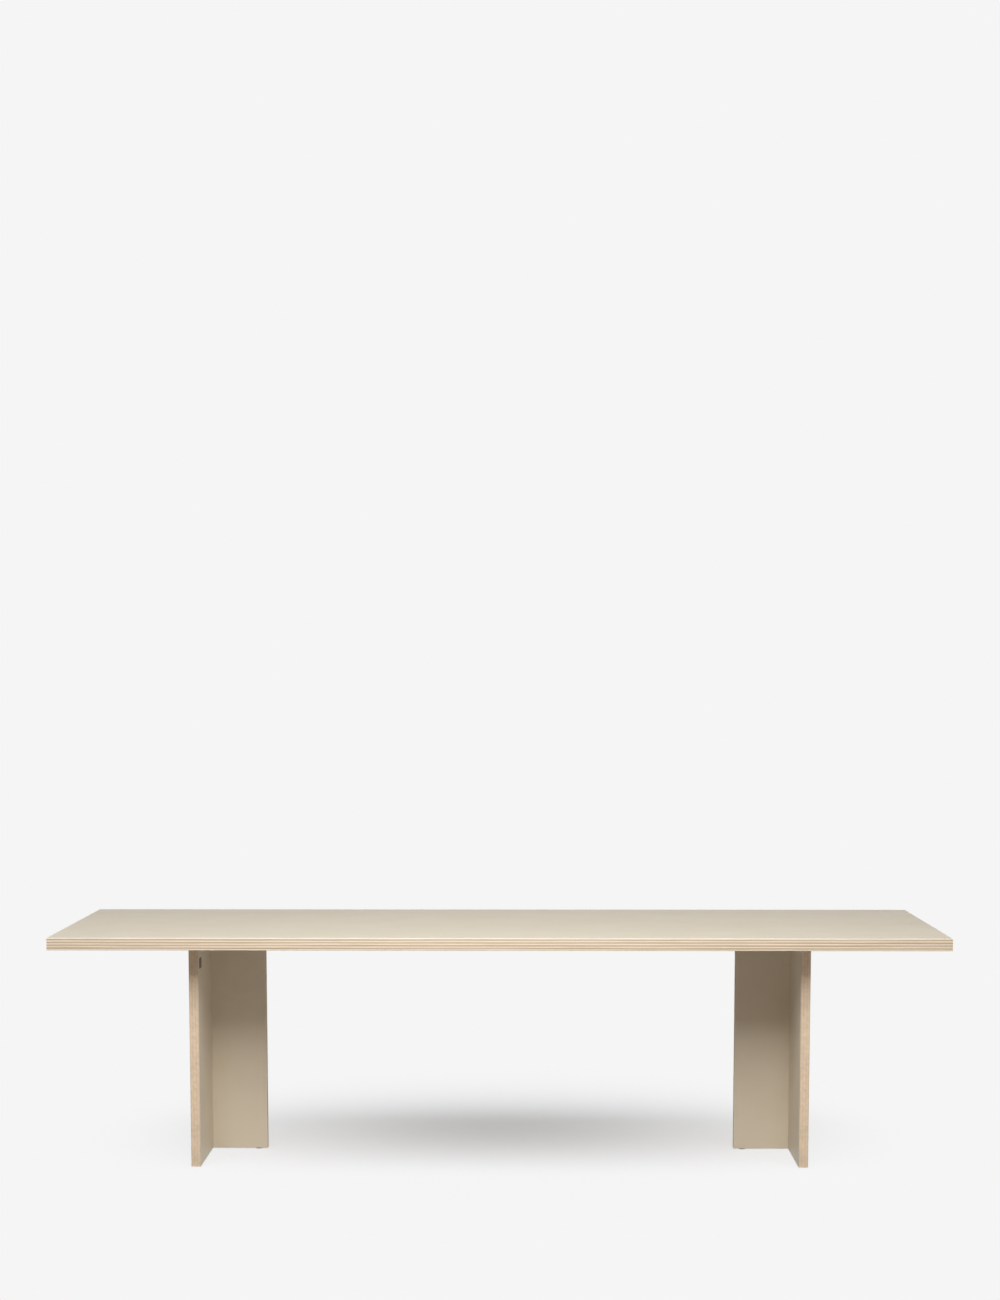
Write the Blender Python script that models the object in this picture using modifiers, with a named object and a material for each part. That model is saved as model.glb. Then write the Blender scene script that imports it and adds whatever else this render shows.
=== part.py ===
# Panel table on two legs that are T-shaped in plan, all of laminated plywood.
# Metres, +Z up. The origin is on the floor below the middle of the top. +X runs along the table.

import math

import bmesh
import bpy
from mathutils import Matrix, Vector

# Finished sizes of the whole table
TOP_LENGTH = 2.800
TOP_WIDTH = 1.000
TABLE_HEIGHT = 0.750

# Panels: a plywood core with a laminate sheet on each face
TOP_THICKNESS = 0.040
LEG_THICKNESS = 0.030
LAMINATE_THICKNESS = 0.001
TOP_CHAMFER = 0.004  # 45 degrees, round the upper arris of the top
ARRIS = 0.0004  # eased edge round the outer face of every other sheet

# Legs: the fin stands across the table and the stem runs inwards from its middle
END_OVERHANG = 0.420  # from the end of the top to the outer face of the fin
FIN_LENGTH = 0.700
STEM_LENGTH = 0.180  # from the inner face of the fin to the free end
HOUSING_DEPTH = 0.004  # groove in the fin that takes the end of the stem

# Dowels between fin and stem
DOWEL_COUNT = 3
DOWEL_DIAMETER = 0.010
DOWEL_LENGTH = 0.050
DOWEL_IN_FIN = 0.016
DOWEL_CHAMFER = 0.0015
DOWEL_MARGIN = 0.040  # clear of the screw tips above and the glide pins below

# Steel plate on the leg, let into the underside of the top
PLATE_THICKNESS = 0.005
PLATE_EDGE_MARGIN = 0.015  # from a bolt or screw to the nearest edge of the plate
PLATE_END_INSET = 0.050  # from the end of the fin to the end of the plate
PLATE_TONGUE_INSET = 0.020  # from the free end of the stem to the end of the tongue
PLATE_CORNER_RADIUS = 0.010

# Countersunk screws from the plate down into the leg
FIN_SCREW_COUNT = 3
STEM_SCREW_COUNT = 2
SCREW_DIAMETER = 0.006
SCREW_HEAD_DIAMETER = 0.0116
SCREW_HEAD_RIM = 0.0005
SCREW_LENGTH = 0.060
SCREW_TIP = 0.008

# Button-head bolts from the plate up into threaded inserts in the top
BOLT_DIAMETER = 0.008
BOLT_HEAD_DIAMETER = 0.014
BOLT_HEAD_HEIGHT = 0.0044
BOLT_HEAD_RIM = 0.001
BOLT_HEAD_FLAT = 0.0075  # across the flat end of the head
BOLT_SOCKET_ACROSS = 0.005
BOLT_SOCKET_DEPTH = 0.0026
BOLT_TIP_CHAMFER = 0.001
BOLT_END_GAP = 0.002  # the bolt stops this far short of the inner end of its insert
BOLT_TO_LEG = 0.025  # from the face of the leg to the axis of a bolt, room for a key
INSERT_DIAMETER = 0.012
INSERT_LENGTH = 0.018

# Nail-in glides under the leg
GLIDE_DIAMETER = 0.022
GLIDE_HEIGHT = 0.003
GLIDE_CHAMFER = 0.001
GLIDE_PIN_DIAMETER = 0.004
GLIDE_PIN_LENGTH = 0.016
GLIDE_EDGE_MARGIN = 0.030  # from the edge of the panel to the axis of the glide

# Blank plate on the inner face of the left fin
BADGE_LENGTH = 0.045
BADGE_HEIGHT = 0.033
BADGE_THICKNESS = 0.001
BADGE_SETBACK = 0.030  # behind the front edge of the fin
BADGE_DROP = 0.044  # below the top

# Clearances
GLUE_LINE = 0.0003  # between a core and its laminate
SEAT_GAP = 0.0003  # between pieces that rest on each other
HOLE_CLEARANCE = 0.0003  # all round a pin, dowel or screw in its hole
CUT_PAST = 0.004  # how far a cutter runs past the face it opens

# Facets
TURN_STEPS = 16  # round a turned piece
CORNER_STEPS = 4  # along a rounded corner
SMOOTH_ANGLE = math.radians(40)  # edges sharper than this stay crisp
WELD_DISTANCE = 1e-6

# Levels worked out from the sizes above
undersideZ = TABLE_HEIGHT - TOP_THICKNESS
plateTopZ = undersideZ + PLATE_THICKNESS
recessTopZ = plateTopZ + SEAT_GAP
legTopZ = undersideZ - SEAT_GAP
legBottomZ = GLIDE_HEIGHT + SEAT_GAP
skin = LAMINATE_THICKNESS + GLUE_LINE

# Plan of a leg in its own frame: origin in the middle of the fin, +X towards the end of the table
finFace = LEG_THICKNESS / 2
finHalf = FIN_LENGTH / 2
stemEndX = -finFace - STEM_LENGTH
housingX = -finFace + HOUSING_DEPTH
boltOffset = finFace + BOLT_TO_LEG
plateHalfWidth = boltOffset + PLATE_EDGE_MARGIN
plateHalfLength = finHalf - PLATE_END_INSET
tongueX = stemEndX + PLATE_TONGUE_INSET
legX = TOP_LENGTH / 2 - END_OVERHANG - finFace

# Screws and bolts
screwDepth = SCREW_LENGTH - PLATE_THICKNESS
boltLength = SEAT_GAP + PLATE_THICKNESS + 2 * SEAT_GAP + INSERT_LENGTH - BOLT_END_GAP
insertZ = recessTopZ + SEAT_GAP


def spread(first, last, count):
    if count == 1:
        return [(first + last) / 2]
    step = (last - first) / (count - 1)
    return [first + i * step for i in range(count)]


finScrewEnd = plateHalfLength - PLATE_EDGE_MARGIN
screwPlaces = [(0.0, y) for y in spread(-finScrewEnd, finScrewEnd, FIN_SCREW_COUNT)]
screwPlaces += [
    (x, 0.0)
    for x in spread(-plateHalfWidth, tongueX + 2 * PLATE_EDGE_MARGIN, STEM_SCREW_COUNT)
]
boltPlaces = [(boltOffset, y) for y in (-finScrewEnd, finScrewEnd)]
boltPlaces += [(tongueX + PLATE_EDGE_MARGIN, y) for y in (-boltOffset, boltOffset)]
dowelLevels = spread(
    legBottomZ + GLIDE_PIN_LENGTH + DOWEL_MARGIN,
    legTopZ - screwDepth - DOWEL_MARGIN,
    DOWEL_COUNT,
)
glideFinY = finHalf - GLIDE_EDGE_MARGIN
glideStemX = stemEndX + GLIDE_EDGE_MARGIN


for old in list(bpy.data.objects):
    bpy.data.objects.remove(old, do_unlink=True)

parts = bpy.data.collections.new("panel_table")
cutters = bpy.data.collections.new("panel_table_cutters")
for group in (parts, cutters):
    bpy.context.scene.collection.children.link(group)


def linear(channel):
    value = channel / 255
    return value / 12.92 if value <= 0.04045 else ((value + 0.055) / 1.055) ** 2.4


def finish(name, rgb, roughness, metallic=0.0):
    material = bpy.data.materials.new(name)
    material.use_nodes = True
    shader = material.node_tree.nodes["Principled BSDF"]
    shader.inputs["Base Color"].default_value = (*[linear(c) for c in rgb], 1.0)
    shader.inputs["Roughness"].default_value = roughness
    shader.inputs["Metallic"].default_value = metallic
    return material


creamLaminate = finish("cream_laminate", (222, 215, 200), 0.45)
backingLaminate = finish("backing_laminate", (214, 206, 190), 0.5)
plywood = finish("plywood", (222, 203, 176), 0.6)
beech = finish("beech", (205, 170, 128), 0.6)
zincSteel = finish("zinc_steel", (186, 188, 190), 0.35, 1.0)
brass = finish("brass", (196, 164, 96), 0.3, 1.0)
glidePlastic = finish("glide_plastic", (214, 208, 194), 0.5)
badgeMetal = finish("badge_metal", (104, 92, 76), 0.4, 0.6)


def place(name, mesh, location, material, parent=None):
    piece = bpy.data.objects.new(name, mesh)
    piece.location = location
    piece.parent = parent
    if not mesh.materials:
        mesh.materials.append(material)
    parts.objects.link(piece)
    return piece


def placeCutter(name, mesh, location, parent=None):
    cutter = bpy.data.objects.new(name, mesh)
    cutter.location = location
    cutter.parent = parent
    cutter.hide_render = True
    cutter.display_type = "WIRE"
    cutters.objects.link(cutter)
    return cutter


def cut(target, tools):
    for tool in tools:
        boolean = target.modifiers.new("cut_" + tool.name, "BOOLEAN")
        boolean.operation = "DIFFERENCE"
        boolean.solver = "EXACT"
        boolean.object = tool


def bakedMesh(source, name):
    # The evaluated shape of a helper object as a plain mesh; the helper is removed.
    graph = bpy.context.evaluated_depsgraph_get()
    mesh = bpy.data.meshes.new_from_object(source.evaluated_get(graph))
    mesh.name = name
    bpy.data.objects.remove(source, do_unlink=True)
    shape = bmesh.new()
    shape.from_mesh(mesh)
    bmesh.ops.remove_doubles(shape, verts=shape.verts, dist=WELD_DISTANCE)
    shape.to_mesh(mesh)
    shape.free()
    return mesh


def boxMesh(name, size):
    mesh = bpy.data.meshes.new(name)
    shape = bmesh.new()
    bmesh.ops.create_cube(shape, size=1.0, matrix=Matrix.Diagonal((*size, 1.0)))
    shape.to_mesh(mesh)
    shape.free()
    return mesh


def panel(name, low, high, material, parent=None):
    low, high = Vector(low), Vector(high)
    return place(name, boxMesh(name, high - low), (low + high) / 2, material, parent)


def sheet(name, low, high, outwards, material, parent=None):
    # A thin panel with the four edges round its outer face eased.
    thin = panel(name, low, high, material, parent)
    shape = bmesh.new()
    shape.from_mesh(thin.data)
    outer = max(shape.faces, key=lambda face: face.normal.dot(Vector(outwards)))
    bmesh.ops.bevel(shape, geom=list(outer.edges), offset=ARRIS, affect="EDGES", segments=1, profile=0.5)
    shape.to_mesh(thin.data)
    shape.free()
    return thin


def boxCutter(name, low, high, parent):
    low, high = Vector(low), Vector(high)
    return placeCutter(name, boxMesh(name, high - low), (low + high) / 2, parent)


def turnedMesh(name, profile, closed=False):
    # Turns (radius, height) points round Z. The outer side runs from top to bottom.
    mesh = bpy.data.meshes.new(name + "_profile")
    shape = bmesh.new()
    points = [shape.verts.new((radius, 0.0, height)) for radius, height in profile]
    for start, end in zip(points, points[1:]):
        shape.edges.new((start, end))
    if closed:
        shape.edges.new((points[-1], points[0]))
    shape.to_mesh(mesh)
    shape.free()
    helper = bpy.data.objects.new(name + "_profile", mesh)
    bpy.context.scene.collection.objects.link(helper)
    turn = helper.modifiers.new("turn", "SCREW")
    turn.steps = turn.render_steps = TURN_STEPS
    turn.use_merge_vertices = True
    turn.merge_threshold = WELD_DISTANCE
    turned = bakedMesh(helper, name)
    turned.shade_smooth()
    turned.set_sharp_from_angle(angle=SMOOTH_ANGLE)
    return turned


def holeMesh(name, diameter, length):
    # A plain drill, standing on its own origin, with clearance all round.
    radius = diameter / 2 + HOLE_CLEARANCE
    return turnedMesh(name, [(0.0, length), (radius, length), (radius, 0.0), (0.0, 0.0)])


def roundedOutline(corners, radius):
    # Replaces each right-angled corner with an arc of short straight steps.
    outline = []
    for i, corner in enumerate(corners):
        back = (Vector(corners[i - 1]) - Vector(corner)).normalized() * radius
        ahead = (Vector(corners[(i + 1) % len(corners)]) - Vector(corner)).normalized() * radius
        centre = Vector(corner) + back + ahead
        for step in range(CORNER_STEPS + 1):
            turn = math.pi / 2 * step / CORNER_STEPS
            outline.append(centre - ahead * math.cos(turn) - back * math.sin(turn))
    return outline


def teeMesh(name, grow, thickness):
    # The T of the plate in the leg's plan: a flange along the fin, a tongue along the stem.
    length = plateHalfLength + grow
    width = plateHalfWidth + grow
    tongue = tongueX - grow
    corners = [
        (width, -length),
        (width, length),
        (-width, length),
        (-width, width),
        (tongue, width),
        (tongue, -width),
        (-width, -width),
        (-width, -length),
    ]
    curve = bpy.data.curves.new(name, "CURVE")
    curve.dimensions = "2D"
    curve.fill_mode = "BOTH"
    curve.extrude = thickness / 2
    outline = roundedOutline(corners, PLATE_CORNER_RADIUS)
    spline = curve.splines.new("POLY")
    spline.points.add(len(outline) - 1)
    for point, place2d in zip(spline.points, outline):
        point.co = (place2d.x, place2d.y, 0.0, 1.0)
    spline.use_cyclic_u = True
    helper = bpy.data.objects.new(name, curve)
    bpy.context.scene.collection.objects.link(helper)
    return bakedMesh(helper, name)


def screwProfile(grow, above):
    # Countersunk head, plain shank and tip. Height 0 is the top of the head.
    head = SCREW_HEAD_DIAMETER / 2 + grow
    shank = SCREW_DIAMETER / 2 + grow
    coneEnd = -SCREW_HEAD_RIM - (head - shank)
    return [
        (0.0, above),
        (head, above),
        (head, -SCREW_HEAD_RIM),
        (shank, coneEnd),
        (shank, -SCREW_LENGTH + SCREW_TIP),
        (0.0, -SCREW_LENGTH - grow),
    ]


def boltMesh():
    # Button head below height 0, shank above it, and a hexagon socket in the head.
    shank = BOLT_DIAMETER / 2
    head = BOLT_HEAD_DIAMETER / 2
    flat = BOLT_HEAD_FLAT / 2
    crown = BOLT_HEAD_HEIGHT - BOLT_HEAD_RIM
    dome = [
        (flat + (head - flat) * math.cos(turn), -BOLT_HEAD_RIM - crown * math.sin(turn))
        for turn in spread(0.0, math.pi / 2, CORNER_STEPS)
    ]
    profile = [
        (0.0, boltLength),
        (shank - BOLT_TIP_CHAMFER, boltLength),
        (shank, boltLength - BOLT_TIP_CHAMFER),
        (shank, 0.0),
        (head, 0.0),
        *dome,
        (0.0, -BOLT_HEAD_HEIGHT),
    ]
    blank = bpy.data.objects.new("bolt_blank", turnedMesh("bolt_blank", profile))
    bpy.context.scene.collection.objects.link(blank)
    hexagon = bpy.data.meshes.new("bolt_socket")
    shape = bmesh.new()
    corner = BOLT_SOCKET_ACROSS / math.sqrt(3)
    bmesh.ops.create_cone(
        shape,
        cap_ends=True,
        segments=6,
        radius1=corner,
        radius2=corner,
        depth=2 * BOLT_SOCKET_DEPTH,
    )
    shape.to_mesh(hexagon)
    shape.free()
    socket = bpy.data.objects.new("bolt_socket", hexagon)
    socket.location.z = -BOLT_HEAD_HEIGHT
    bpy.context.scene.collection.objects.link(socket)
    cut(blank, [socket])
    mesh = bakedMesh(blank, "bolt")
    bpy.data.objects.remove(socket, do_unlink=True)
    return mesh


def insertMesh():
    outer = INSERT_DIAMETER / 2
    bore = BOLT_DIAMETER / 2 + HOLE_CLEARANCE
    ring = [(outer, INSERT_LENGTH), (outer, 0.0), (bore, 0.0), (bore, INSERT_LENGTH)]
    return turnedMesh("insert", ring, closed=True)


def dowelMesh():
    radius = DOWEL_DIAMETER / 2
    half = DOWEL_LENGTH / 2
    return turnedMesh(
        "dowel",
        [
            (0.0, half),
            (radius - DOWEL_CHAMFER, half),
            (radius, half - DOWEL_CHAMFER),
            (radius, -half + DOWEL_CHAMFER),
            (radius - DOWEL_CHAMFER, -half),
            (0.0, -half),
        ],
    )


def glideMesh():
    pin = GLIDE_PIN_DIAMETER / 2
    disc = GLIDE_DIAMETER / 2
    return turnedMesh(
        "glide",
        [
            (0.0, GLIDE_HEIGHT + GLIDE_PIN_LENGTH),
            (pin, GLIDE_HEIGHT + GLIDE_PIN_LENGTH - pin),
            (pin, GLIDE_HEIGHT),
            (disc, GLIDE_HEIGHT),
            (disc, GLIDE_CHAMFER),
            (disc - GLIDE_CHAMFER, 0.0),
            (0.0, 0.0),
        ],
    )


# Shapes that both legs share
boltShape = boltMesh()
insertShape = insertMesh()
dowelShape = dowelMesh()
glideShape = glideMesh()
screwShape = turnedMesh("screw", screwProfile(0.0, 0.0))
screwCutShape = turnedMesh("screw_cut", screwProfile(HOLE_CLEARANCE, CUT_PAST))
boltHoleShape = holeMesh("bolt_hole", BOLT_DIAMETER, PLATE_THICKNESS + 2 * CUT_PAST)
insertHoleShape = holeMesh("insert_hole", INSERT_DIAMETER, CUT_PAST + INSERT_LENGTH + 2 * SEAT_GAP)
dowelHoleShape = holeMesh("dowel_hole", DOWEL_DIAMETER, DOWEL_LENGTH + 2 * SEAT_GAP)
pinHoleShape = holeMesh("pin_hole", GLIDE_PIN_DIAMETER, CUT_PAST + GLIDE_PIN_LENGTH + SEAT_GAP)


def chamferTop(mesh, inset, depth):
    if inset <= 0.0:
        return
    shape = bmesh.new()
    shape.from_mesh(mesh)
    top = max(shape.faces, key=lambda face: face.calc_center_median().z)
    height = top.calc_center_median().z - min(v.co.z for v in shape.verts)
    if depth < height:
        inner = bmesh.ops.extrude_discrete_faces(shape, faces=[top])["faces"][0]
        for vert in {v for v in shape.verts if v.co.z > 0.0} - set(inner.verts):
            vert.co.z -= depth
        top = inner
    for vert in top.verts:
        vert.co.x -= math.copysign(inset, vert.co.x)
        vert.co.y -= math.copysign(inset, vert.co.y)
    shape.to_mesh(mesh)
    shape.free()


def makeTop():
    length, width = TOP_LENGTH / 2, TOP_WIDTH / 2
    coreChamfer = max(TOP_CHAMFER - skin, 0.0)
    core = panel(
        "top_core",
        (-length, -width, undersideZ + skin),
        (length, width, TABLE_HEIGHT - skin),
        plywood,
    )
    sheetFoot = max(TOP_CHAMFER - LAMINATE_THICKNESS, 0.0)
    topSheet = panel(
        "top_laminate",
        (-length + sheetFoot, -width + sheetFoot, TABLE_HEIGHT - LAMINATE_THICKNESS),
        (length - sheetFoot, width - sheetFoot, TABLE_HEIGHT),
        creamLaminate,
    )
    # The chamfer runs on through the laminate and into the core.
    chamferTop(core.data, coreChamfer, coreChamfer)
    chamferTop(topSheet.data, TOP_CHAMFER - sheetFoot, LAMINATE_THICKNESS)
    backing = sheet(
        "underside_laminate",
        (-length, -width, undersideZ),
        (length, width, undersideZ + LAMINATE_THICKNESS),
        (0, 0, -1),
        backingLaminate,
    )
    return core, backing


def makeLeg(side, turn, topCore, topBacking):
    leg = bpy.data.objects.new(side + "_leg", None)
    leg.location.x = legX * math.cos(turn)
    leg.rotation_euler.z = turn
    parts.objects.link(leg)

    def facing(y):
        # The left leg is turned half round, so its own +Y looks to the front.
        return "front" if y * math.cos(turn) < 0 else "rear"

    def tool(name, mesh, location):
        return placeCutter(side + "_" + name, mesh, location, leg)

    # Cutters
    housing = boxCutter(
        side + "_housing_cut",
        (-finFace - CUT_PAST, -finFace - SEAT_GAP, legBottomZ - CUT_PAST),
        (housingX, finFace + SEAT_GAP, legTopZ + CUT_PAST),
        leg,
    )
    dowelX = housingX + DOWEL_IN_FIN - DOWEL_LENGTH / 2
    dowelHoles = []
    for number, level in enumerate(dowelLevels, 1):
        start = dowelX - DOWEL_LENGTH / 2 - SEAT_GAP
        hole = tool(f"dowel_hole_{number}", dowelHoleShape, (start, 0.0, level))
        hole.rotation_euler.y = math.pi / 2
        dowelHoles.append(hole)
    screwCuts = [
        tool(f"screw_cut_{number}", screwCutShape, (x, y, plateTopZ))
        for number, (x, y) in enumerate(screwPlaces, 1)
    ]
    boltHoles = [
        tool(f"bolt_hole_{number}", boltHoleShape, (x, y, undersideZ - CUT_PAST))
        for number, (x, y) in enumerate(boltPlaces, 1)
    ]
    insertHoles = [
        tool(f"insert_hole_{number}", insertHoleShape, (x, y, recessTopZ - CUT_PAST))
        for number, (x, y) in enumerate(boltPlaces, 1)
    ]
    glidePlaces = {facing(y): (0.0, y, 0.0) for y in (-glideFinY, glideFinY)}
    glidePlaces["inner"] = (glideStemX, 0.0, 0.0)
    pinHoles = {
        name: tool(f"pin_hole_{name}", pinHoleShape, (x, y, legBottomZ - CUT_PAST))
        for name, (x, y, _) in glidePlaces.items()
    }
    recess = tool(
        "plate_recess",
        teeMesh("plate_recess", SEAT_GAP, PLATE_THICKNESS + SEAT_GAP + CUT_PAST),
        (0.0, 0.0, (recessTopZ + undersideZ - CUT_PAST) / 2),
    )
    cut(topCore, [recess, *insertHoles])
    cut(topBacking, [recess])

    # Fin
    finCore = panel(
        side + "_fin_core",
        (-finFace + skin, -finHalf, legBottomZ),
        (finFace - skin, finHalf, legTopZ),
        plywood,
        leg,
    )
    finScrewCuts = screwCuts[:FIN_SCREW_COUNT]
    cut(finCore, [housing, *dowelHoles, *finScrewCuts, pinHoles["front"], pinHoles["rear"]])
    sheet(
        side + "_fin_outer_laminate",
        (finFace - LAMINATE_THICKNESS, -finHalf, legBottomZ),
        (finFace, finHalf, legTopZ),
        (1, 0, 0),
        creamLaminate,
        leg,
    )
    housingHalf = finFace + SEAT_GAP
    for low, high in ((-finHalf, -housingHalf), (housingHalf, finHalf)):
        sheet(
            f"{side}_fin_inner_laminate_{facing(low + high)}",
            (-finFace, low, legBottomZ),
            (-finFace + LAMINATE_THICKNESS, high, legTopZ),
            (-1, 0, 0),
            creamLaminate,
            leg,
        )

    # Stem
    stemInX = housingX - SEAT_GAP
    stemCore = panel(
        side + "_stem_core",
        (stemEndX, -finFace + skin, legBottomZ),
        (stemInX, finFace - skin, legTopZ),
        plywood,
        leg,
    )
    cut(stemCore, [*dowelHoles, *screwCuts[FIN_SCREW_COUNT:], pinHoles["inner"]])
    inner = finFace - LAMINATE_THICKNESS
    for low, high in ((-finFace, -inner), (inner, finFace)):
        sheet(
            f"{side}_stem_{facing(low + high)}_laminate",
            (stemEndX, low, legBottomZ),
            (stemInX, high, legTopZ),
            (0, low + high, 0),
            creamLaminate,
            leg,
        )
    for number, level in enumerate(dowelLevels, 1):
        dowel = place(f"{side}_dowel_{number}", dowelShape, (dowelX, 0.0, level), beech, leg)
        dowel.rotation_euler.y = math.pi / 2

    # Plate and fasteners
    plateZ = (undersideZ + plateTopZ) / 2
    plateShape = teeMesh(side + "_mounting_plate", 0.0, PLATE_THICKNESS)
    plate = place(side + "_mounting_plate", plateShape, (0.0, 0.0, plateZ), zincSteel, leg)
    cut(plate, [*screwCuts, *boltHoles])
    for number, (x, y) in enumerate(screwPlaces, 1):
        place(f"{side}_plate_screw_{number}", screwShape, (x, y, plateTopZ), zincSteel, leg)
    for number, (x, y) in enumerate(boltPlaces, 1):
        place(f"{side}_bolt_{number}", boltShape, (x, y, undersideZ - SEAT_GAP), zincSteel, leg)
        place(f"{side}_insert_{number}", insertShape, (x, y, insertZ), brass, leg)
    for name, spot in glidePlaces.items():
        place(f"{side}_glide_{name}", glideShape, spot, glidePlastic, leg)


def makeBadge():
    # On the inner face of the left fin, near its front edge and just under the top.
    face = -legX + finFace + SEAT_GAP
    front = -finHalf + BADGE_SETBACK
    top = undersideZ - BADGE_DROP
    sheet(
        "blank_badge",
        (face, front, top - BADGE_HEIGHT),
        (face + BADGE_THICKNESS, front + BADGE_LENGTH, top),
        (1, 0, 0),
        badgeMetal,
    )


topCore, topBacking = makeTop()
makeLeg("right", 0.0, topCore, topBacking)
makeLeg("left", math.pi, topCore, topBacking)
makeBadge()
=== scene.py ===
import math

import bmesh
import bpy
from mathutils import Matrix, Vector


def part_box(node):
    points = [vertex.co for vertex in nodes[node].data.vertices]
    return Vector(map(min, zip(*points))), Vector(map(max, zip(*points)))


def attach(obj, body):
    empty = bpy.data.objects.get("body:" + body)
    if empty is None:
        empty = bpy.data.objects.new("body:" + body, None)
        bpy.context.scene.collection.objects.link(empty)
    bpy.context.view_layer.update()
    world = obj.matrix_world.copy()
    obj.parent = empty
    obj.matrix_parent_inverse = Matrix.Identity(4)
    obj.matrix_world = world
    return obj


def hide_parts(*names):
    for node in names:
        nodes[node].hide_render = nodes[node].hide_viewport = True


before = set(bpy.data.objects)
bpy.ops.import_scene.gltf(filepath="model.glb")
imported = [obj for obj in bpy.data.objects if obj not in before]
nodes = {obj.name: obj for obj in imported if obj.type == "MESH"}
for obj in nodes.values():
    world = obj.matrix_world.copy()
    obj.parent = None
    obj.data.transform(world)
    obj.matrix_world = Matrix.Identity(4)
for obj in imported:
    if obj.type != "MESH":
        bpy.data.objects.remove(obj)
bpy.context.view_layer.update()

sides = ("left", "right")
noiseMean = 0.5  # what a noise texture averages
nearlyEqual = 0.1  # slack when a worked-out number is matched to a whole one
print("frame loaded:", len(nodes), "CAD nodes")


def linearColour(code):
    channels = [int(code[i:i + 2], 16) / 255 for i in (1, 3, 5)]
    return (*[c / 12.92 if c <= 0.04045 else ((c + 0.055) / 1.055) ** 2.4 for c in channels], 1.0)


# an input is a plain value, an output socket, or a node whose first live output is meant
def setInputs(tree, node, inputs):
    for key, value in inputs.items():
        if isinstance(value, bpy.types.Node):
            value = next(out for out in value.outputs if out.enabled)
        if isinstance(value, bpy.types.NodeSocket):
            tree.links.new(value, node.inputs[key])
        else:
            node.inputs[key].default_value = value


def addNode(tree, kind, settings={}, inputs={}):
    made = tree.nodes.new(kind)
    for key, value in settings.items():
        setattr(made, key, value)
    setInputs(tree, made, inputs)
    return made


def newMaterial(name, inputs={}):
    material = bpy.data.materials.new(name)
    material.use_nodes = True
    tree = material.node_tree
    shader = tree.nodes["Principled BSDF"]
    setInputs(tree, shader, inputs)
    return material, tree, shader


def cover(names, material):
    for name in names:
        nodes[name].data.materials.clear()
        nodes[name].data.materials.append(material)


# melamine laminate, pressed against a fine-textured plate: a matt, warm cream skin with a soft sheen
# at low angles, hardly any pattern, and a faint cloud where the paper takes the resin unevenly
laminateLook = {
    "cream": "#E3D7C1",
    "cloud": "#DCCFB8",
    "roughness": 0.47,
    "roughnessSpread": 0.05,
    "ior": 1.4,
    "cloudSize": 0.14,  # metres across one cloud
    "cloudDetail": 3.0,
    "cloudBreakup": 0.55,
    "pressGrain": 0.0012,  # the real grain is about 0.3 mm, drawn coarser so that it shows close up
    "grainDetail": 2.0,
    "grainHeight": 0.00002,
    "grainStrength": 0.35,
}
backingLook = {**laminateLook, "cream": "#DACEB8", "cloud": "#D2C6AF", "roughness": 0.5}


def melamineLaminate(name, look):
    rough, spread = look["roughness"], look["roughnessSpread"]
    material, tree, shader = newMaterial(name, {"IOR": look["ior"]})
    coords = addNode(tree, "ShaderNodeTexCoord").outputs["Object"]
    cloud = addNode(
        tree, "ShaderNodeTexNoise", {},
        {
            "Vector": coords, "Scale": 1 / look["cloudSize"],
            "Detail": look["cloudDetail"], "Roughness": look["cloudBreakup"],
        },
    )
    grain = addNode(
        tree, "ShaderNodeTexNoise", {},
        {"Vector": coords, "Scale": 1 / look["pressGrain"], "Detail": look["grainDetail"]},
    )
    colour = addNode(
        tree, "ShaderNodeMix", {"data_type": "RGBA"},
        {0: cloud, 6: linearColour(look["cream"]), 7: linearColour(look["cloud"])},
    )
    dull = addNode(
        tree, "ShaderNodeMapRange", {}, {"Value": cloud, "To Min": rough - spread, "To Max": rough + spread}
    )
    bump = addNode(
        tree, "ShaderNodeBump", {},
        {"Height": grain, "Strength": look["grainStrength"], "Distance": look["grainHeight"]},
    )
    setInputs(tree, shader, {"Base Color": colour, "Roughness": dull, "Normal": bump})
    return material


sheets = (
    "fin_outer_laminate", "fin_inner_laminate_front", "fin_inner_laminate_rear",
    "stem_front_laminate", "stem_rear_laminate",
)
legSheets = [f"{side}_{sheet}" for side in sides for sheet in sheets]
cover(["top_laminate", *legSheets], melamineLaminate("melamine_laminate_cream", laminateLook))
cover(["underside_laminate"], melamineLaminate("melamine_laminate_backing", backingLook))
print("laminates done")


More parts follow.
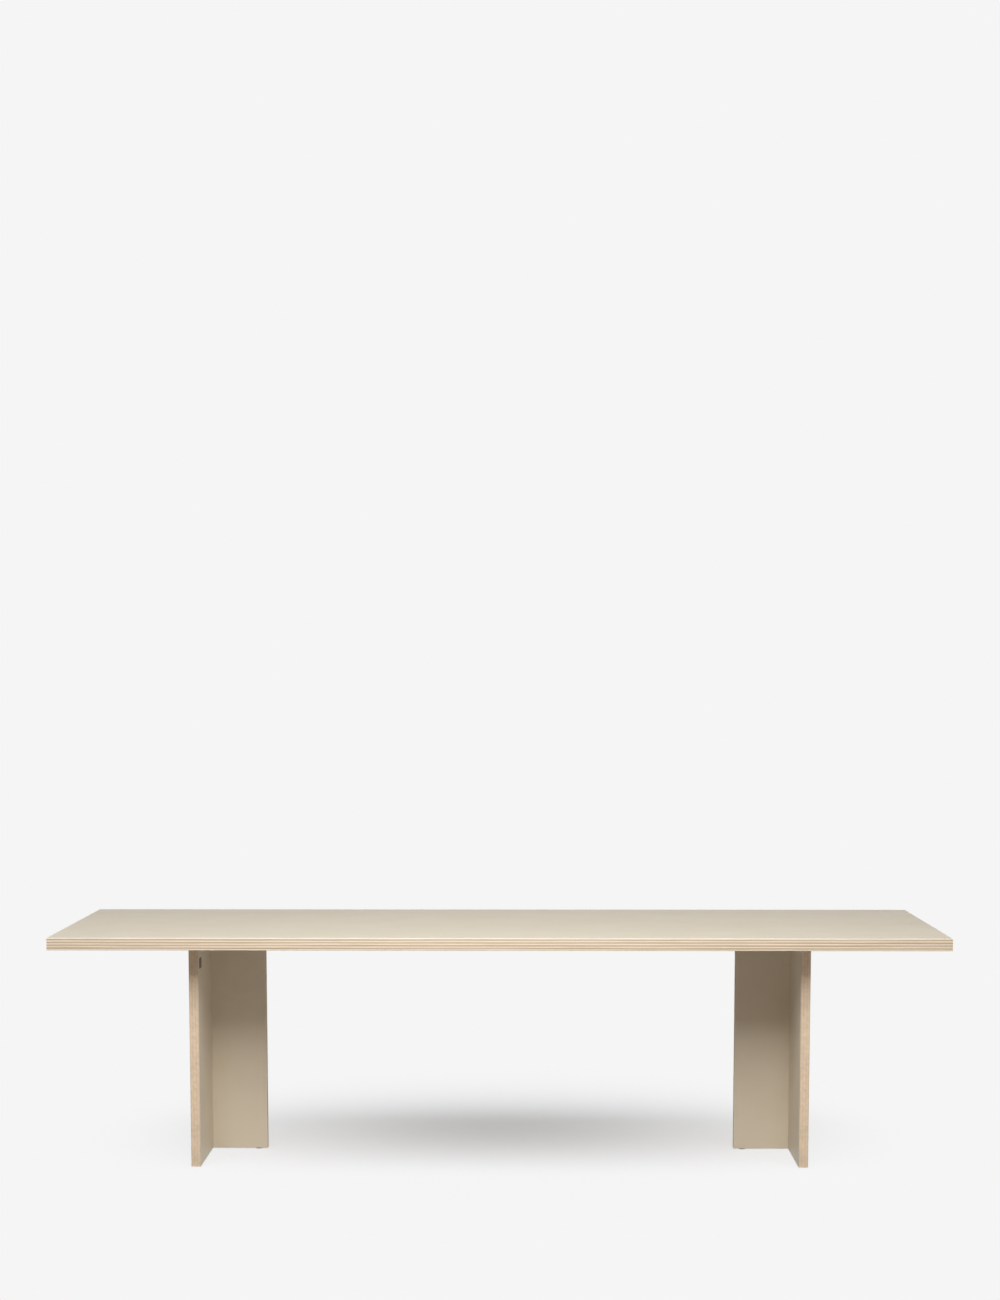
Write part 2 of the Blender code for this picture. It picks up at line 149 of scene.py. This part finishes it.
# birch plywood, edge sanded and clear-sealed: veneers cut along the grain read pale and streaky, those
# cut across it read darker and speckled, with a thin brown glue line between, and they swap round a corner
topPly = {
    "veneer": 0.0044,  # birch veneers are about 1.4 mm, drawn coarser so that they show
    "pale": "#F3E6D2",
    "blush": "#EED8BF",
    "crossCut": "#C0A98A",
    "glue": "#94795A",
    "arris": "#F4EBDD",  # the top arris cuts the white face veneer at a slant, and is drawn paler still as a painted highlight along the lit edge
    "stripe": (0.6, 1.0),  # how far the darker plies stand out, where they fade and where they show
    "fadeRange": (0.4, 0.6),  # noise levels between which they come up
    "glueStrength": 0.4,
    "glueRange": (0.43, 0.5),  # where the glue line starts and ends, in plies from the middle of a ply
    "stray": 0.0014,  # how far a ply wanders up and down along the edge
    "plyTone": 0.08,
    "turned": 0.5,  # cosine past which a face counts as turned to an axis
    "ior": 1.45,
    "roughness": 0.6,
    "specular": 0.2,  # open grain breaks up the shine
    "relief": 0.00005,
    "reliefStrength": 0.5,
    "endGrainSink": 0.6,  # end grain sands lower than the rest, by this share of the relief
    "patternDetail": 2.0,
    "patternGap": 7.3,  # from one noise pattern to the next, so that no two are alike
    # metres along the edge, metres across the plies
    "patterns": {
        "wander": (0.35, 0.05),
        "fade": (0.5, 0.004),
        "blotch": (0.3, 0.005),
        "streak": (0.14, 0.0028),
        "speck": (0.005, 0.003),  # pores are under 0.5 mm, drawn coarser so that they show
    },
    "shades": {"fade": 0.1, "blotch": 0.2, "streak": 0.4, "speck": 0.12},
}
# the legs' plies are cut so that hardly a stripe shows: one tan edge with a soft, cloudy mottle
legPly = {
    **topPly,
    "pale": "#EED9BE",
    "blush": "#E5CBAE",
    "stripe": (0.08, 0.24),
    "glueStrength": 0.09,
    "plyTone": 0.02,
    "patterns": {**topPly["patterns"], "blotch": (0.036, 0.05), "speck": (0.011, 0.012)},
    "shades": {"fade": 0.05, "blotch": 0.34, "streak": 0.06, "speck": 0.32},
}
shadeDarkenedStemPly = {**legPly, "pale": "#D9C6AE", "blush": "#D0B99F"}  # painted shade: the stems' plywood is drawn darker than the fins', to stand in for the shade on their free ends under the table


def birchPlywood(name, look, centre, along, across):
    along, across = Vector(along), Vector(across)
    turn = Matrix((along, across.cross(along), across)).transposed().to_euler()
    material, tree, shader = newMaterial(
        name, {"IOR": look["ior"], "Roughness": look["roughness"], "Specular IOR Level": look["specular"]}
    )
    coords = addNode(tree, "ShaderNodeTexCoord").outputs["Object"]
    placed = addNode(
        tree, "ShaderNodeMapping", {"vector_type": "TEXTURE"},
        {"Vector": coords, "Location": centre, "Rotation": turn},
    )
    parts = addNode(tree, "ShaderNodeSeparateXYZ", {}, {"Vector": placed}).outputs
    # distance along whichever edge is seen, and the level across the plies
    run = addNode(tree, "ShaderNodeMath", {"operation": "ADD"}, {0: parts["X"], 1: parts["Y"]})
    edgePoint = addNode(tree, "ShaderNodeCombineXYZ", {}, {"X": run, "Y": parts["Z"]})
    patterns = {}
    for count, (pattern, (length, width)) in enumerate(look["patterns"].items()):
        apart = (0, 0, count * look["patternGap"])
        stretched = addNode(
            tree, "ShaderNodeMapping", {},
            {"Vector": edgePoint, "Scale": (1 / length, 1 / width, 1), "Location": apart},
        )
        patterns[pattern] = addNode(
            tree, "ShaderNodeTexNoise", {},
            {"Vector": stretched, "Scale": 1.0, "Detail": look["patternDetail"]},
        )

    # which ply a point lies in, and whether its grain is cut along or across
    stray = addNode(
        tree, "ShaderNodeMath", {"operation": "MULTIPLY_ADD"},
        {0: patterns["wander"], 1: look["stray"], 2: parts["Z"]},
    )
    level = addNode(
        tree, "ShaderNodeMath", {"operation": "MULTIPLY_ADD"},
        {0: stray, 1: 1 / look["veneer"], 2: -noiseMean * look["stray"] / look["veneer"]},
    )
    ply = addNode(tree, "ShaderNodeMath", {"operation": "ROUND"}, {0: level})
    odd = addNode(tree, "ShaderNodeMath", {"operation": "PINGPONG"}, {0: ply, 1: 1.0})
    normal = addNode(tree, "ShaderNodeNewGeometry").outputs["Normal"]
    facing = addNode(tree, "ShaderNodeVectorMath", {"operation": "DOT_PRODUCT"}, {0: normal, 1: along})
    sideways = addNode(tree, "ShaderNodeMath", {"operation": "ABSOLUTE"}, {0: facing})
    roundCorner = addNode(
        tree, "ShaderNodeMath", {"operation": "GREATER_THAN"}, {0: sideways, 1: look["turned"]}
    )
    longGrain = addNode(
        tree, "ShaderNodeMath", {"operation": "COMPARE"}, {0: odd, 1: roundCorner, 2: nearlyEqual}
    )
    endGrain = addNode(tree, "ShaderNodeMath", {"operation": "SUBTRACT"}, {0: 1.0, 1: longGrain})

    # stripes come and go along the edge
    faded, plain = look["stripe"]
    fadeStart, fadeEnd = look["fadeRange"]
    strength = addNode(
        tree, "ShaderNodeMapRange", {},
        {
            "Value": patterns["fade"], "From Min": fadeStart, "From Max": fadeEnd,
            "To Min": faded, "To Max": plain,
        },
    )
    depth = addNode(tree, "ShaderNodeMath", {"operation": "MULTIPLY"}, {0: endGrain, 1: strength})
    wood = addNode(
        tree, "ShaderNodeMix", {"data_type": "RGBA"},
        {0: patterns["blotch"], 6: linearColour(look["pale"]), 7: linearColour(look["blush"])},
    )
    wood = addNode(
        tree, "ShaderNodeMix", {"data_type": "RGBA"}, {0: depth, 6: wood, 7: linearColour(look["crossCut"])}
    )
    offCentre = addNode(tree, "ShaderNodeMath", {"operation": "SUBTRACT"}, {0: level, 1: ply})
    offCentre = addNode(tree, "ShaderNodeMath", {"operation": "ABSOLUTE"}, {0: offCentre})
    glueStart, glueEnd = look["glueRange"]
    glueLine = addNode(
        tree, "ShaderNodeMapRange", {"interpolation_type": "SMOOTHSTEP"},
        {"Value": offCentre, "From Min": glueStart, "From Max": glueEnd, "To Max": look["glueStrength"]},
    )
    wood = addNode(
        tree, "ShaderNodeMix", {"data_type": "RGBA"}, {0: glueLine, 6: wood, 7: linearColour(look["glue"])}
    )
    # the slanted arris takes the pale arris colour, partly the face veneer and partly a painted highlight
    slant = addNode(tree, "ShaderNodeVectorMath", {"operation": "DOT_PRODUCT"}, {0: normal, 1: across})
    chamfer = addNode(tree, "ShaderNodeMath", {"operation": "GREATER_THAN"}, {0: slant, 1: look["turned"]})
    wood = addNode(
        tree, "ShaderNodeMix", {"data_type": "RGBA"}, {0: chamfer, 6: wood, 7: linearColour(look["arris"])}
    )
    # light and dark within a ply, about an even middle
    shade = addNode(tree, "ShaderNodeTexWhiteNoise", {"noise_dimensions": "1D"}, {"W": ply}).outputs["Value"]
    middleShade = 1 - noiseMean * (look["plyTone"] + sum(look["shades"].values()))
    shade = addNode(
        tree, "ShaderNodeMath", {"operation": "MULTIPLY_ADD"}, {0: shade, 1: look["plyTone"], 2: middleShade}
    )
    for pattern, swing in look["shades"].items():
        shade = addNode(
            tree, "ShaderNodeMath", {"operation": "MULTIPLY_ADD"}, {0: patterns[pattern], 1: swing, 2: shade}
        )
    wood = addNode(tree, "ShaderNodeVectorMath", {"operation": "SCALE"}, {0: wood, "Scale": shade})
    height = addNode(
        tree, "ShaderNodeMath", {"operation": "MULTIPLY_ADD"},
        {0: endGrain, 1: -look["endGrainSink"], 2: patterns["streak"]},
    )
    bump = addNode(
        tree, "ShaderNodeBump", {},
        {"Height": height, "Strength": look["reliefStrength"], "Distance": look["relief"]},
    )
    setInputs(tree, shader, {"Base Color": wood, "Normal": bump})
    return material


def middle(name):
    low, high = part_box(name)
    return (low + high) / 2


alongX, alongY, alongZ = (1, 0, 0), (0, 1, 0), (0, 0, 1)
cover(["top_core"], birchPlywood("birch_plywood_top", topPly, middle("top_core"), alongX, alongZ))
for side in sides:
    # the stems take the darker plywood, a painted shade on their free ends
    for panel, look, across in (("fin", legPly, alongX), ("stem", shadeDarkenedStemPly, alongY)):
        core = f"{side}_{panel}_core"
        cover([core], birchPlywood(f"birch_plywood_{side}_{panel}", look, middle(core), alongZ, across))
print("plywood done")


# a finish with one grain: two shades, a size in metres with a stretch along x, y and z, and a relief
finishLook = {"grainDetail": 3.0, "roughnessSpread": 0.05, "reliefStrength": 0.4}  # the same for all of them


def grainedFinish(name, look):
    rough, spread = look["roughness"], finishLook["roughnessSpread"]
    material, tree, shader = newMaterial(name, look["shader"])
    coords = addNode(tree, "ShaderNodeTexCoord").outputs["Object"]
    scale = [1 / (look["grain"] * stretch) for stretch in look["stretch"]]
    stretched = addNode(tree, "ShaderNodeMapping", {}, {"Vector": coords, "Scale": scale})
    grain = addNode(
        tree, "ShaderNodeTexNoise", {},
        {"Vector": stretched, "Scale": 1.0, "Detail": finishLook["grainDetail"]},
    )
    colour = addNode(
        tree, "ShaderNodeMix", {"data_type": "RGBA"},
        {0: grain, 6: linearColour(look["dark"]), 7: linearColour(look["light"])},
    )
    dull = addNode(
        tree, "ShaderNodeMapRange", {}, {"Value": grain, "To Min": rough - spread, "To Max": rough + spread}
    )
    bump = addNode(
        tree, "ShaderNodeBump", {},
        {"Height": grain, "Strength": finishLook["reliefStrength"], "Distance": look["relief"]},
    )
    setInputs(tree, shader, {"Base Color": colour, "Roughness": dull, "Normal": bump})
    return material


# zinc-plated steel: cool, slightly cloudy grey with a soft metal shine
zincSteel = grainedFinish("zinc_plated_steel", {
    "shader": {"Metallic": 1.0}, "dark": "#A9ABAE", "light": "#C4C6C8", "roughness": 0.38,
    "grain": 0.006, "stretch": (1, 1, 1), "relief": 0.00002,
})
# turned brass: warm metal with fine rings from the lathe
turnedBrass = grainedFinish("turned_brass", {
    "shader": {"Metallic": 1.0}, "dark": "#B8954E", "light": "#CDAE6A", "roughness": 0.32,
    "grain": 0.0006, "stretch": (8, 8, 1), "relief": 0.00002,
})
# beech, planed and fluted: pinkish tan with short dark rays along the grain
planedBeech = grainedFinish("planed_beech", {
    "shader": {"IOR": 1.45}, "dark": "#B98F64", "light": "#D6B088", "roughness": 0.6,
    "grain": 0.0008, "stretch": (14, 1, 1), "relief": 0.00004,
})
# moulded nylon, left its own white: dull, a little waxy, faintly pitted from the mould
mouldedNylon = grainedFinish("moulded_nylon", {
    "shader": {"IOR": 1.53}, "dark": "#EBE9E4", "light": "#F3F2EE", "roughness": 0.5,
    "grain": 0.001, "stretch": (1, 1, 1), "relief": 0.00002,
})
# anodised aluminium, brushed along its length: a quiet dark bronze
bronzeAnodised = grainedFinish("anodised_aluminium_bronze", {
    "shader": {"Metallic": 0.7}, "dark": "#51473B", "light": "#5E5345", "roughness": 0.36,
    "grain": 0.0004, "stretch": (1, 40, 1), "relief": 0.00001,
})


sharpAngle = math.radians(35)  # edges past this stay crisp
weldDistance = 1e-6  # metres


# spinning and extruding leave corners, edges and faces in a new order each run, so they get a fixed one
def putInOrder(shape):
    spots = (
        (shape.verts, lambda vert: tuple(vert.co)),
        (shape.edges, lambda edge: tuple(edge.verts[0].co + edge.verts[1].co)),
        (shape.faces, lambda face: tuple(face.calc_center_median())),
    )
    for items, spot in spots:
        ranks = {item: rank for rank, item in enumerate(sorted(items, key=spot))}
        items.sort(key=ranks.get)


# small pieces fill their CAD boxes and stand in for the plain solids
def keepPiece(node, build, material):
    low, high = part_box(node)
    shape = build(high - low)
    bmesh.ops.translate(shape, verts=shape.verts, vec=(low + high) / 2)
    bmesh.ops.recalc_face_normals(shape, faces=shape.faces)
    putInOrder(shape)
    mesh = bpy.data.meshes.new(node + "_made")
    shape.to_mesh(mesh)
    shape.free()
    mesh.shade_smooth()
    mesh.set_sharp_from_angle(angle=sharpAngle)
    mesh.materials.append(material)
    piece = bpy.data.objects.new(node + "_made", mesh)
    bpy.context.scene.collection.objects.link(piece)
    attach(piece, "root")
    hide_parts(node)


# profile is (radius, height) from top to bottom, spun full round
def spun(profile, steps, closed=False):
    shape = bmesh.new()
    points = [shape.verts.new((radius, 0, height)) for radius, height in profile]
    edges = [shape.edges.new(pair) for pair in zip(points, points[1:])]
    if closed:
        edges.append(shape.edges.new((points[-1], points[0])))
    bmesh.ops.spin(
        shape, geom=points + edges, cent=(0, 0, 0), axis=(0, 0, 1), dvec=(0, 0, 0),
        angle=2 * math.pi, steps=steps, use_merge=True,
    )
    bmesh.ops.remove_doubles(shape, verts=shape.verts, dist=weldDistance)  # the points on the axis
    return shape


# a quarter round from straight out to straight down, as (outwards, downwards) shares of 1
quarterSteps = 6
quarterTurns = [math.pi / 2 * step / quarterSteps for step in range(quarterSteps + 1)]
quarterRound = [(math.cos(turn), math.sin(turn)) for turn in quarterTurns]

# shares of the pitch at which a ridge leaves the root, starts and ends its crest and is back at the root
ridgeShares = (0.1, 0.45, 0.6, 0.95)


# the ridges of a thread, drawn as rings
def threadRings(top, bottom, crest, root, pitch):
    count = round((top - bottom) / pitch)
    step = (top - bottom) / count
    rings = []
    for start in [top - turn * step for turn in range(count)]:
        levels = [start - share * step for share in ridgeShares]
        rings += zip((root, crest, crest, root), levels)
    return rings


boltLook = {
    "shank": 0.004, "root": 0.0033, "pitch": 0.00125, "tip": 0.001,
    "neck": 0.001,  # plain shank above the head
    "runOut": 0.002,  # from the head to the first ridge
    "headHeight": 0.0044, "headRim": 0.001, "headFlat": 0.00375,
    "socketAcross": 0.005, "socketDepth": 0.0026,
    "steps": 24,  # a multiple of 6, so that the hexagon has its corners
}


def buttonHeadBolt(size):
    look = boltLook
    shank, tip, flat = look["shank"], look["tip"], look["headFlat"]
    end, bottom, head = size.z / 2, -size.z / 2, size.x / 2
    seat = bottom + look["headHeight"]
    rim = seat - look["headRim"]
    profile = [(0, end), (shank - tip, end), (shank, end - tip)]
    profile += threadRings(end - tip, seat + look["runOut"], shank, look["root"], look["pitch"])
    profile += [(shank, seat + look["neck"]), (shank, seat), (head, seat)]
    profile += [(flat + (head - flat) * out, rim + (bottom - rim) * down) for out, down in quarterRound]
    shape = spun(profile, look["steps"])
    # the flat of the head closes in to a hexagon, which then goes up as the socket
    sector = math.pi / 3  # from one corner of the hexagon to the next
    for level in (bottom, bottom + look["socketDepth"]):
        mouth = [edge for edge in shape.edges if edge.is_boundary]
        grown = bmesh.ops.extrude_edge_only(shape, edges=mouth)["geom"]
        for vert in [item for item in grown if isinstance(item, bmesh.types.BMVert)]:
            turn = math.atan2(vert.co.y, vert.co.x)
            reach = look["socketAcross"] / 2 / math.cos(turn % sector - sector / 2)
            vert.co = (reach * math.cos(turn), reach * math.sin(turn), level)
    bmesh.ops.holes_fill(shape, edges=shape.edges)
    return shape


insertLook = {"bore": 0.0043, "ridge": 0.0006, "pitch": 0.003, "lead": 0.0005, "steps": 24}


def threadedInsert(size):
    look = insertLook
    crest, half, lead = size.x / 2, size.z / 2, look["lead"]
    bore, root = look["bore"], crest - look["ridge"]
    profile = [(bore + lead, half), (root, half)]
    profile += threadRings(half - lead, lead - half, crest, root, look["pitch"])
    profile += [(root, -half), (bore + lead, -half), (bore, lead - half), (bore, half - lead)]
    return spun(profile, look["steps"], closed=True)


screwLook = {
    "shank": 0.003, "root": 0.0021, "pitch": 0.003, "plain": 0.018,
    "tip": 0.008, "point": 0.0012,  # the radius a third of the way up the tip
    "headRim": 0.0005, "recess": 0.002, "recessFloor": 0.0016, "recessDepth": 0.0018,
    "steps": 20,
}


def countersunkScrew(size):
    look = screwLook
    top, bottom, head = size.z / 2, -size.z / 2, size.x / 2
    shank, root, rim = look["shank"], look["root"], top - look["headRim"]
    plain, tip, floor = top - look["plain"], bottom + look["tip"], top - look["recessDepth"]
    profile = [(0, floor), (look["recessFloor"], floor), (look["recess"], top), (head, top), (head, rim)]
    profile += [(shank, rim - head + shank), (shank, plain)]
    profile += threadRings(plain, tip, shank, root, look["pitch"])
    profile += [(root, tip), (look["point"], bottom + look["tip"] / 3), (0, bottom)]
    return spun(profile, look["steps"])


dowelLook = {
    "flutes": 16,
    "facets": 4,  # round the dowel, from flute to flute
    "fluteDepth": 0.0004,
    "chamfer": 0.0015,
}


def flutedDowel(size):
    look = dowelLook
    flutes, radius = look["flutes"], size.y / 2
    shape = bmesh.new()
    made = bmesh.ops.create_cone(
        shape, cap_ends=True, segments=look["facets"] * flutes, radius1=radius, radius2=radius, depth=size.x
    )["verts"]
    caps = [face for face in shape.faces if len(face.verts) > 4]  # the facets have four corners
    for vert in made:
        turn = math.atan2(vert.co.y, vert.co.x) * flutes / (2 * math.pi)
        if abs(turn - round(turn)) < nearlyEqual:
            vert.co.xy *= 1 - look["fluteDepth"] / radius
    bmesh.ops.bevel(
        shape, geom=list({edge for face in caps for edge in face.edges}), offset=look["chamfer"],
        affect="EDGES", segments=1, profile=0.5, material=-1, clamp_overlap=True,
    )
    bmesh.ops.rotate(shape, verts=shape.verts, matrix=Matrix.Rotation(math.pi / 2, 3, "Y"))
    return shape


glideLook = {
    "disc": 0.003, "round": 0.0012, "edge": 0.0003,
    "pin": 0.002, "root": 0.0006,
    "pinTaper": 0.004, "pinTip": 0.0008, "pinTipHeight": 0.001,
    "steps": 40,
}


def nailGlide(size):
    look = glideLook
    radius, top, bottom = size.x / 2, size.z / 2, -size.z / 2
    soft, edge, pin, root = look["round"], look["edge"], look["pin"], look["root"]
    disc = bottom + look["disc"]
    profile = [(0, top), (look["pinTip"], top - look["pinTipHeight"])]
    profile += [(pin, top - look["pinTaper"]), (pin, disc + root)]
    profile += [(pin + root, disc), (radius - edge, disc), (radius, disc - edge)]
    profile += [(radius - soft + soft * out, bottom + soft - soft * down) for out, down in quarterRound]
    profile += [(0, bottom)]
    return spun(profile, look["steps"])


badgeLook = {
    "corner": 0.003, "cornerSteps": 6,
    "arris": 0.0002, "arrisSteps": 2,
    "border": 0.0016, "sunk": 0.0003,
}


def blankBadge(size):
    look = badgeLook
    shape = bmesh.new()
    bmesh.ops.create_cube(shape, size=1, matrix=Matrix.Diagonal((*size, 1)))
    corners = [edge for edge in shape.edges if abs(edge.verts[0].co.x - edge.verts[1].co.x) > size.x / 2]
    bmesh.ops.bevel(
        shape, geom=corners, offset=look["corner"], affect="EDGES",
        segments=look["cornerSteps"], profile=0.5, material=-1,
    )
    face = max(shape.faces, key=lambda side: side.calc_center_median().x)
    rim = list(face.edges)
    bmesh.ops.inset_region(shape, faces=[face], thickness=look["border"], use_even_offset=True)
    bmesh.ops.inset_region(shape, faces=[face], thickness=look["arris"], depth=-look["sunk"])
    bmesh.ops.bevel(
        shape, geom=rim, offset=look["arris"], affect="EDGES",
        segments=look["arrisSteps"], profile=0.5, material=-1,
    )
    return shape


hardware = {
    "bolt": ((1, 2, 3, 4), buttonHeadBolt, "zinc_steel", zincSteel),
    "insert": ((1, 2, 3, 4), threadedInsert, "brass", turnedBrass),
    "plate_screw": ((1, 2, 3, 4, 5), countersunkScrew, "zinc_steel", zincSteel),
    "dowel": ((1, 2, 3), flutedDowel, "beech", planedBeech),
    "glide": (("front", "rear", "inner"), nailGlide, "glide_plastic", mouldedNylon),
}
for side in sides:
    for kind, (endings, build, slotName, material) in hardware.items():
        for ending in endings:
            keepPiece(f"{side}_{kind}_{ending}", build, material)
keepPiece("blank_badge", blankBadge, bronzeAnodised)
cover([f"{side}_mounting_plate" for side in sides], zincSteel)
print("hardware done")


# pale studio: a level background, a floor that shows the shadow, soft light from in front and above
studio = {
    "background": "#F5F5F5",
    "shadowPaper": "#F0F2F6",  # a shade cooler where the table throws warm light back on it
    "skyLight": 0.143,
    "skyLean": 1.0,  # how much brighter the sky is towards +X
    "floorReach": 200,  # metres from the middle to an edge of the floor
    "floorBounce": "#A79F99",  # what the floor throws back on the table
    "bounceDrop": 0.0002,  # metres from the seen floor down to the one that gives its bounce
    "shadowShare": 0.645,  # share of the floor's look that takes shadow under the table, the rest is steady
    "shadowMiddle": (0, 0.25, 0),
    "shadowReach": (1.5, 1.7, 1),  # metres to where that share has died away
    "topLight": 0.07,
    "floorLight": 0.86,  # upper light on the seen floor
    "topSoftness": 70,  # degrees across
    "topLean": 36,  # degrees towards the front
    # watts, metres across, place and aim
    "softboxes": {
        "front_softbox": (141, (3.0, 1.9), (-0.09, -2.9, 3.15), (-0.05, -0.3, 0.6)),
        "low_softbox": (11, (0.45, 0.8), (4.0, -0.88, 0.5), (-0.9, -0.2, 0.35)),
        "left_softbox": (45, (0.8, 0.6), (-4.5, 0.5, 0.42), (-0.9, 0, 0.4)),
        "right_softbox": (30, (0.8, 0.6), (4.5, 0.5, 0.42), (0.9, 0, 0.4)),
        "rear_softbox": (75, (3.0, 0.6), (0, 5.0, 0.42), (0, 0.3, 0.4)),
    },
}
topLean = math.radians(studio["topLean"])

world = bpy.data.worlds.new("studio")
bpy.context.scene.world = world
world.use_nodes = True
tree = world.node_tree
tree.nodes.clear()
direction = addNode(tree, "ShaderNodeTexCoord").outputs["Generated"]
towardsX = addNode(tree, "ShaderNodeSeparateXYZ", {}, {"Vector": direction}).outputs["X"]
skyLevels = [studio["skyLight"] * (1 + lean * studio["skyLean"]) for lean in (-1, 1)]
skyLevel = addNode(
    tree, "ShaderNodeMapRange", {},
    {"Value": towardsX, "From Min": -1.0, "To Min": skyLevels[0], "To Max": skyLevels[1]},
)
sky = addNode(tree, "ShaderNodeBackground", {}, {"Color": (1, 1, 1, 1), "Strength": skyLevel})
paper = addNode(
    tree, "ShaderNodeBackground", {}, {"Color": linearColour(studio["background"]), "Strength": 1.0}
)
rays = addNode(tree, "ShaderNodeLightPath").outputs
seen = addNode(
    tree, "ShaderNodeMath", {"operation": "MAXIMUM"}, {0: rays["Is Camera Ray"], 1: rays["Is Glossy Ray"]}
)
seen = addNode(tree, "ShaderNodeMath", {"operation": "MAXIMUM"}, {0: seen, 1: rays["Is Transmission Ray"]})
mixed = addNode(tree, "ShaderNodeMixShader", {}, {0: seen, 1: sky, 2: paper})
addNode(tree, "ShaderNodeOutputWorld", {}, {"Surface": mixed})


# steady pale paper, which takes the shadow of the upper light only near the table
def paperSurface(tree):
    level = linearColour(studio["background"])
    openLight = studio["skyLight"] + studio["floorLight"] * math.cos(topLean)
    lit = (*[channel / openLight for channel in linearColour(studio["shadowPaper"])[:3]], 1)
    coords = addNode(tree, "ShaderNodeTexCoord").outputs["Object"]
    nearness = addNode(
        tree, "ShaderNodeMapping", {"vector_type": "TEXTURE"},
        {"Vector": coords, "Location": studio["shadowMiddle"], "Scale": studio["shadowReach"]},
    )
    nearness = addNode(tree, "ShaderNodeVectorMath", {"operation": "LENGTH"}, {0: nearness})
    share = addNode(
        tree, "ShaderNodeMapRange", {"interpolation_type": "SMOOTHSTEP"},
        {"Value": nearness, "To Min": studio["shadowShare"], "To Max": 0.0},
    )
    steady = addNode(tree, "ShaderNodeEmission", {}, {"Color": level, "Strength": 1.0})
    shadowed = addNode(tree, "ShaderNodeBsdfDiffuse", {}, {"Color": lit})
    return addNode(tree, "ShaderNodeMixShader", {}, {0: share, 1: steady, 2: shadowed})


def bounceSurface(tree):
    return addNode(tree, "ShaderNodeBsdfDiffuse", {}, {"Color": linearColour(studio["floorBounce"])})


def addFloor(name, height, surface):
    material, tree = newMaterial(name)[:2]
    tree.nodes.clear()
    addNode(tree, "ShaderNodeOutputMaterial", {}, {"Surface": surface(tree)})
    mesh = bpy.data.meshes.new(name)
    shape = bmesh.new()
    bmesh.ops.create_grid(
        shape, x_segments=1, y_segments=1, size=studio["floorReach"],
        matrix=Matrix.Translation((0, 0, height)),
    )
    shape.to_mesh(mesh)
    shape.free()
    mesh.materials.append(material)
    floor = bpy.data.objects.new(name, mesh)
    bpy.context.scene.collection.objects.link(floor)
    return floor


# one floor is seen, and one just under it gives its bounce to the table
seenFloor = addFloor("floor_paper", 0, paperSurface)
seenFloor.visible_diffuse = seenFloor.visible_shadow = False
bounceFloor = addFloor("floor_bounce", -studio["bounceDrop"], bounceSurface)
bounceFloor.visible_camera = bounceFloor.visible_glossy = bounceFloor.visible_transmission = False


# the seen floor has an upper light of its own, and the table's lamps pass it by, so its tone stays level
def addLamp(name, kind, power, place, aim, onFloor):
    light = bpy.data.lights.new(name, kind)
    light.energy = power
    lamp = bpy.data.objects.new(name, light)
    lamp.visible_camera = False
    lamp.location = place
    lamp.rotation_euler = (Vector(aim) - Vector(place)).to_track_quat("-Z", "Y").to_euler()
    bpy.context.scene.collection.objects.link(lamp)
    linked = bpy.data.collections.new(name + "_floor")
    linked.objects.link(seenFloor)
    lamp.light_linking.receiver_collection = linked
    linked.collection_objects[0].light_linking.link_state = "INCLUDE" if onFloor else "EXCLUDE"
    return light


above = (0, -math.sin(topLean), math.cos(topLean))
for name, level, onFloor in (("upper_light", "topLight", False), ("upper_floor_light", "floorLight", True)):
    light = addLamp(name, "SUN", studio[level] * math.pi, above, (0, 0, 0), onFloor)
    light.angle = math.radians(studio["topSoftness"])
for name, (power, size, place, aim) in studio["softboxes"].items():
    light = addLamp(name, "AREA", power, place, aim, False)
    light.shape = "RECTANGLE"
    light.size, light.size_y = size
bpy.data.objects["rear_softbox"].visible_glossy = False  # or it glints along the ends of the stems
print("studio done")


# camera from a fit to the table's corners and leg edges
shot = {
    "focal": 2585.2,  # pixels
    "frame": (1000, 1300),
    "sensor": 36,  # millimetres along the frame's longer side
    "place": (0.0796, -8.4425, 1.5383),
    "pitchDown": 0.1183,  # radians
    "turnLeft": 0.0096,  # radians
    "shiftUp": 0.26,  # share of the frame's longer side
}
camera = bpy.data.cameras.new("camera")
camera.sensor_width = shot["sensor"]
camera.lens = shot["focal"] * camera.sensor_width / max(shot["frame"])
camera.shift_y = shot["shiftUp"]
eye = bpy.data.objects.new("camera", camera)
eye.location = shot["place"]
eye.rotation_euler = (math.pi / 2 - shot["pitchDown"], 0, shot["turnLeft"])
bpy.context.scene.collection.objects.link(eye)
bpy.context.scene.camera = eye
bpy.context.scene.view_settings.view_transform = "Standard"
print("camera done")
